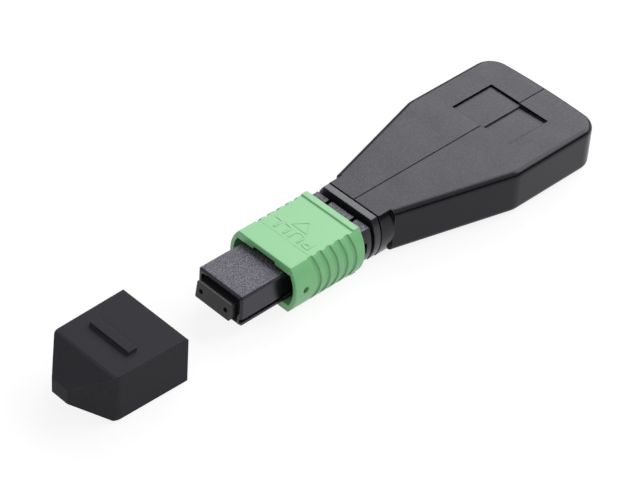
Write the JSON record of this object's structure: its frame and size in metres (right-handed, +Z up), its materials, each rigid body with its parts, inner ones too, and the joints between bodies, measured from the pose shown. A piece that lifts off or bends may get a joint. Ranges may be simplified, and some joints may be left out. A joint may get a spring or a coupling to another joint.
{
  "type": "fibre loopback plug",
  "caption": "Push-on multi-fibre loopback plug with a flat flared shell, a sprung green grip sleeve, an angled ferrule and a tapered dust cap lying off its nose.",
  "frame": {"origin": "centre of the ferrule's mating face, midway between the two guide pin holes", "axes": "+X along the plug from the nose to the rounded back, Y across it with the marker hole on the -Y side, +Z up, away from the key"},
  "size_m": [0.0882, 0.021, 0.0081],
  "materials": {
    "cap_plastic": "satin moulded, near black",
    "sleeve_plastic": "satin moulded, pale green",
    "housing_plastic": "fine spark-eroded grain, dark grey",
    "ferrule_resin": "polished face, black",
    "boot_rubber": "soft, black",
    "keeper_plastic": "moulded, black",
    "spring_steel": "drawn wire",
    "push_plastic": "satin moulded, near black",
    "fibre_blue": "coloured fibre coating",
    "fibre_orange": "coloured fibre coating",
    "fibre_green": "coloured fibre coating",
    "fibre_brown": "coloured fibre coating",
    "fibre_grey": "coloured fibre coating",
    "fibre_white": "coloured fibre coating",
    "shell_plastic": "satin moulded, dark grey"
  },
  "bodies": {
    "plug": {"shell_left": "shell_plastic", "shell_right": "shell_plastic", "spring_push": "push_plastic", "inner_housing": "housing_plastic", "ferrule_spring": "spring_steel", "sleeve_spring_left": "spring_steel", "sleeve_spring_right": "spring_steel"},
    "ferrule_set": {"ferrule": "ferrule_resin", "ferrule_boot": "boot_rubber", "pin_keeper": "keeper_plastic", "fibre_loop_1": "fibre_blue", "fibre_loop_2": "fibre_orange", "fibre_loop_3": "fibre_green", "fibre_loop_4": "fibre_brown", "fibre_loop_5": "fibre_grey", "fibre_loop_6": "fibre_white"},
    "sleeve": {"coupling_sleeve": "sleeve_plastic"},
    "cap": {"dust_cap": "cap_plastic"}
  },
  "joints": [
    {"name": "sleeve_slide", "type": "slide", "parent": "plug", "child": "sleeve", "axis": [1, 0, 0], "range_m": [0, 0.002], "stiffness_N_per_m": 1500, "springref_m": -0.001, "deforming": ["sleeve_spring_left", "sleeve_spring_right"]},
    {"name": "ferrule_float", "type": "slide", "parent": "plug", "child": "ferrule_set", "axis": [1, 0, 0], "range_m": [0, 0.0008], "stiffness_N_per_m": 4000, "springref_m": -0.001, "deforming": ["ferrule_spring"]},
    {"name": "cap_slide", "type": "slide", "parent": "plug", "child": "cap", "axis": [1, 0, 0], "range_m": [0, 0.01817]}
  ]
}
